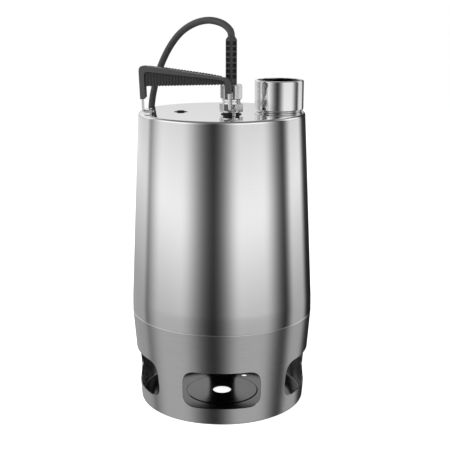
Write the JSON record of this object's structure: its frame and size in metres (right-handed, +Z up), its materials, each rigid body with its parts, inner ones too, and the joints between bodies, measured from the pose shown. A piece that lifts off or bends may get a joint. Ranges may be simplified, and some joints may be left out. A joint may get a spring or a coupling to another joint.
{
  "type": "submersible sump pump",
  "caption": "Stainless submersible drainage pump with windowed inlet base, threaded top outlet, tilting carry handle, inner motor and impeller, and coiled mains cable with plug.",
  "frame": {"origin": "on the pump's vertical axis, at the surface it stands on", "axes": "+Z up along the motor shaft, +X towards the outlet socket, -Y towards the side with the cable gland"},
  "size_m": [0.215, 0.4059, 0.4542],
  "materials": {
    "polished_stainless": "polished",
    "satin_stainless": "satin",
    "plain_steel": "machined",
    "cast_aluminium": "cast",
    "brass": "machined",
    "copper_winding": "varnished wire",
    "black_rubber": "matte",
    "grip_plastic": "matte",
    "dark_plastic": "moulded",
    "seal_ceramic": "lapped"
  },
  "bodies": {
    "pump": {"pump_sleeve": "polished_stainless", "discharge_socket": "polished_stainless", "inlet_strainer": "satin_stainless", "pump_housing": "dark_plastic", "housing_o_ring": "black_rubber", "guide_vane_ring": "dark_plastic", "seal_cover": "plain_steel", "bracket_screw_1": "plain_steel", "bracket_screw_2": "plain_steel", "bracket_screw_3": "plain_steel", "oil_screw": "brass", "lower_bearing_bracket": "cast_aluminium", "upper_bearing_shield": "cast_aluminium", "stator_housing": "satin_stainless", "motor_top_cover": "plain_steel", "motor_o_ring": "black_rubber", "stator_core": "plain_steel", "stator_winding_lower": "copper_winding", "stator_winding_upper": "copper_winding", "capacitor": "dark_plastic", "cable_entry_tube": "plain_steel", "gland_gasket": "black_rubber", "gland_body": "satin_stainless", "gland_nut": "polished_stainless", "cable_boot": "black_rubber", "vent_screw": "dark_plastic", "handle_eye_left": "polished_stainless", "handle_eye_right": "polished_stainless", "shaft_seal_stationary": "seal_ceramic", "lower_bearing_outer": "plain_steel", "upper_bearing_outer": "plain_steel", "cable_run": "black_rubber", "cable_coil": "black_rubber", "cable_tail": "black_rubber", "coil_tie": "dark_plastic", "plug_body": "black_rubber", "plug_pin_1": "brass", "plug_pin_2": "brass"},
    "rotor": {"shaft": "plain_steel", "rotor_core": "cast_aluminium", "impeller": "dark_plastic", "impeller_key": "plain_steel", "impeller_washer": "plain_steel", "impeller_nut": "plain_steel", "shaft_seal_rotating": "plain_steel", "seal_spring": "plain_steel", "lower_bearing_inner": "plain_steel", "upper_bearing_inner": "plain_steel"},
    "lower_cage": {"lower_ball_cage": "brass"},
    "upper_cage": {"upper_ball_cage": "brass"},
    "handle": {"handle_bail": "polished_stainless", "handle_grip": "grip_plastic"}
  },
  "joints": [
    {"name": "rotor_spin", "type": "hinge", "parent": "pump", "child": "rotor", "pos_m": [0, 0, 0.11], "axis": [0, 0, 1], "continuous": true},
    {"name": "lower_cage_spin", "type": "hinge", "parent": "pump", "child": "lower_cage", "pos_m": [0, 0, 0.1484], "axis": [0, 0, 1], "continuous": true},
    {"name": "upper_cage_spin", "type": "hinge", "parent": "pump", "child": "upper_cage", "pos_m": [0, 0, 0.277], "axis": [0, 0, 1], "continuous": true},
    {"name": "handle_tilt", "type": "hinge", "parent": "pump", "child": "handle", "pos_m": [-0.0812, -0.0252, 0.35], "axis": [0.9682, -0.2471, 0.0398], "range_deg": [0, 75]}
  ],
  "couplings": [
    {"joint": "lower_cage_spin", "follows": "rotor_spin", "ratio": 0.4046},
    {"joint": "upper_cage_spin", "follows": "rotor_spin", "ratio": 0.4046}
  ]
}
